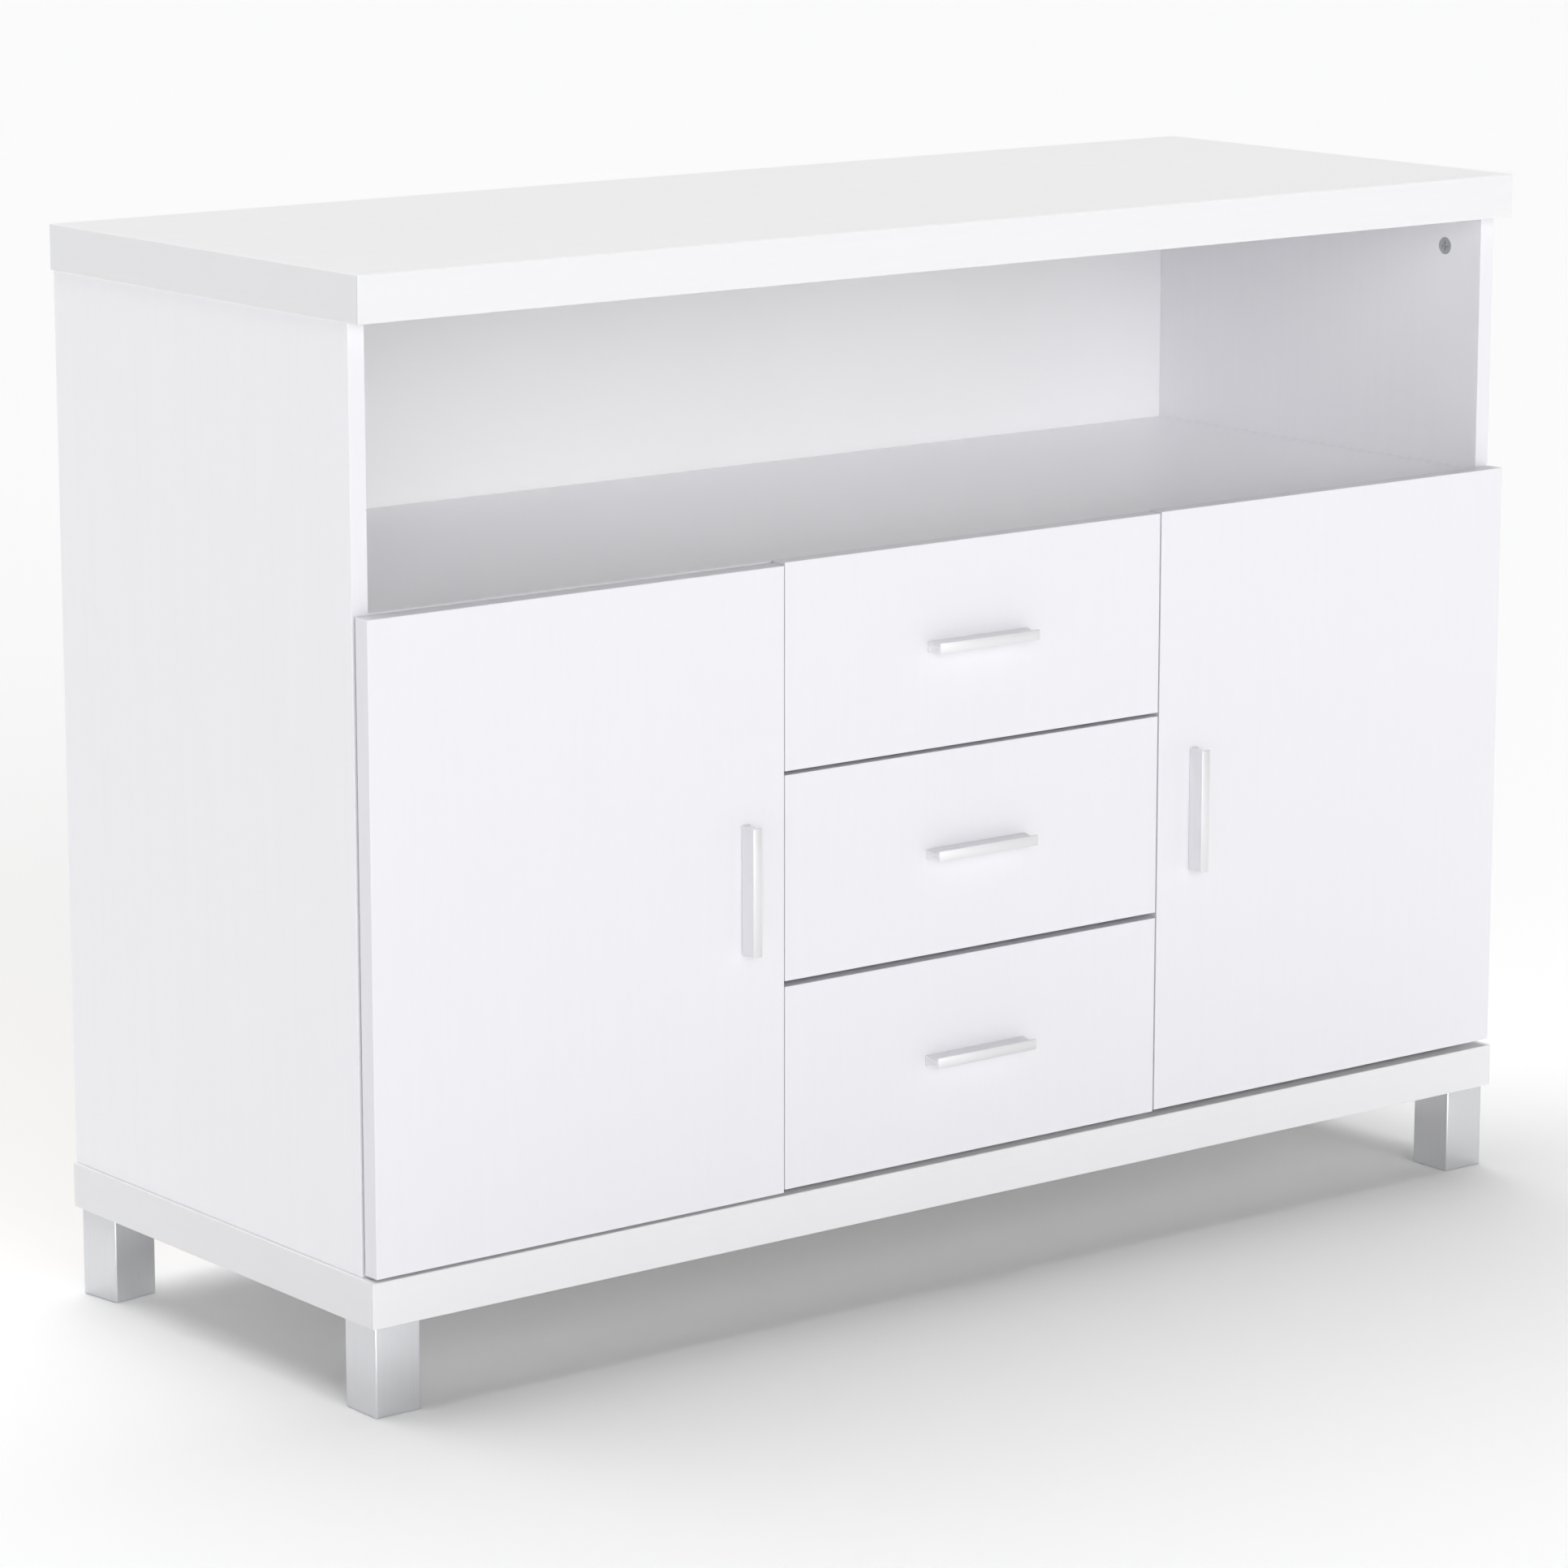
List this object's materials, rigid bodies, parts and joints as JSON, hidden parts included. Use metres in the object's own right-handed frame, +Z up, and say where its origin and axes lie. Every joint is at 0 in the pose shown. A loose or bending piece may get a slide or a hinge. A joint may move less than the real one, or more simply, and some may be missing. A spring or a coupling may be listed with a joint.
{
  "type": "sideboard buffet",
  "caption": "White sideboard with a slab top and base, an open compartment over hinged doors and sliding drawers, bar handles and square metal legs.",
  "frame": {"origin": "on the floor, under the middle of the whole sideboard with its handles", "axes": "+Z up, the doors and drawers face -Y, +X to the right of someone facing them"},
  "size_m": [1.2, 0.4572, 0.886],
  "materials": {
    "painted_board": "satin white foil on board, a very faint grain along the width",
    "painted_front": "smooth satin white foil on board",
    "drawer_foil": "matt white foil on board",
    "hardboard": "matt white faced hardboard",
    "leg_metal": "satin",
    "handle_metal": "satin, drawn along its length",
    "coated_steel": "smooth white powder coat",
    "plated_steel": "bright plated",
    "cast_zinc": "dull cast zinc"
  },
  "bodies": {
    "cabinet": {"top_panel": "painted_board", "base_panel": "painted_board", "left_side_panel": "painted_board", "right_side_panel": "painted_board", "left_divider": "painted_board", "right_divider": "painted_board", "compartment_floor": "painted_board", "back_panel": "hardboard", "left_shelf": "painted_board", "right_shelf": "painted_board", "left_front_cam_lock": "cast_zinc", "left_rear_cam_lock": "cast_zinc", "right_front_cam_lock": "cast_zinc", "right_rear_cam_lock": "cast_zinc", "front_left_leg": "leg_metal", "front_right_leg": "leg_metal", "rear_left_leg": "leg_metal", "rear_right_leg": "leg_metal", "left_door_lower_hinge_arm": "plated_steel", "left_door_upper_hinge_arm": "plated_steel", "right_door_lower_hinge_arm": "plated_steel", "right_door_upper_hinge_arm": "plated_steel", "lower_drawer_left_cabinet_rail": "coated_steel", "lower_drawer_right_cabinet_rail": "coated_steel", "middle_drawer_left_cabinet_rail": "coated_steel", "middle_drawer_right_cabinet_rail": "coated_steel", "upper_drawer_left_cabinet_rail": "coated_steel", "upper_drawer_right_cabinet_rail": "coated_steel"},
    "left_door": {"left_door": "painted_front", "left_door_handle": "handle_metal", "left_door_lower_hinge_cup": "plated_steel", "left_door_upper_hinge_cup": "plated_steel"},
    "right_door": {"right_door": "painted_front", "right_door_handle": "handle_metal", "right_door_lower_hinge_cup": "plated_steel", "right_door_upper_hinge_cup": "plated_steel"},
    "lower_drawer": {"lower_drawer_front": "painted_front", "lower_drawer_handle": "handle_metal", "lower_drawer_left_side": "drawer_foil", "lower_drawer_right_side": "drawer_foil", "lower_drawer_back": "drawer_foil", "lower_drawer_bottom": "hardboard", "lower_drawer_left_drawer_rail": "coated_steel", "lower_drawer_right_drawer_rail": "coated_steel"},
    "middle_drawer": {"middle_drawer_front": "painted_front", "middle_drawer_handle": "handle_metal", "middle_drawer_left_side": "drawer_foil", "middle_drawer_right_side": "drawer_foil", "middle_drawer_back": "drawer_foil", "middle_drawer_bottom": "hardboard", "middle_drawer_left_drawer_rail": "coated_steel", "middle_drawer_right_drawer_rail": "coated_steel"},
    "upper_drawer": {"upper_drawer_front": "painted_front", "upper_drawer_handle": "handle_metal", "upper_drawer_left_side": "drawer_foil", "upper_drawer_right_side": "drawer_foil", "upper_drawer_back": "drawer_foil", "upper_drawer_bottom": "hardboard", "upper_drawer_left_drawer_rail": "coated_steel", "upper_drawer_right_drawer_rail": "coated_steel"}
  },
  "joints": [
    {"name": "left_door_hinge", "type": "hinge", "parent": "cabinet", "child": "left_door", "pos_m": [-0.589, -0.20495, 0.3695], "axis": [0, 0, -1], "range_deg": [0, 95]},
    {"name": "right_door_hinge", "type": "hinge", "parent": "cabinet", "child": "right_door", "pos_m": [0.589, -0.20495, 0.373], "axis": [0, 0, 1], "range_deg": [0, 95]},
    {"name": "lower_drawer_slide", "type": "slide", "parent": "cabinet", "child": "lower_drawer", "axis": [0, -1, 0], "range_m": [0, 0.29]},
    {"name": "middle_drawer_slide", "type": "slide", "parent": "cabinet", "child": "middle_drawer", "axis": [0, -1, 0], "range_m": [0, 0.29]},
    {"name": "upper_drawer_slide", "type": "slide", "parent": "cabinet", "child": "upper_drawer", "axis": [0, -1, 0], "range_m": [0, 0.29]}
  ]
}
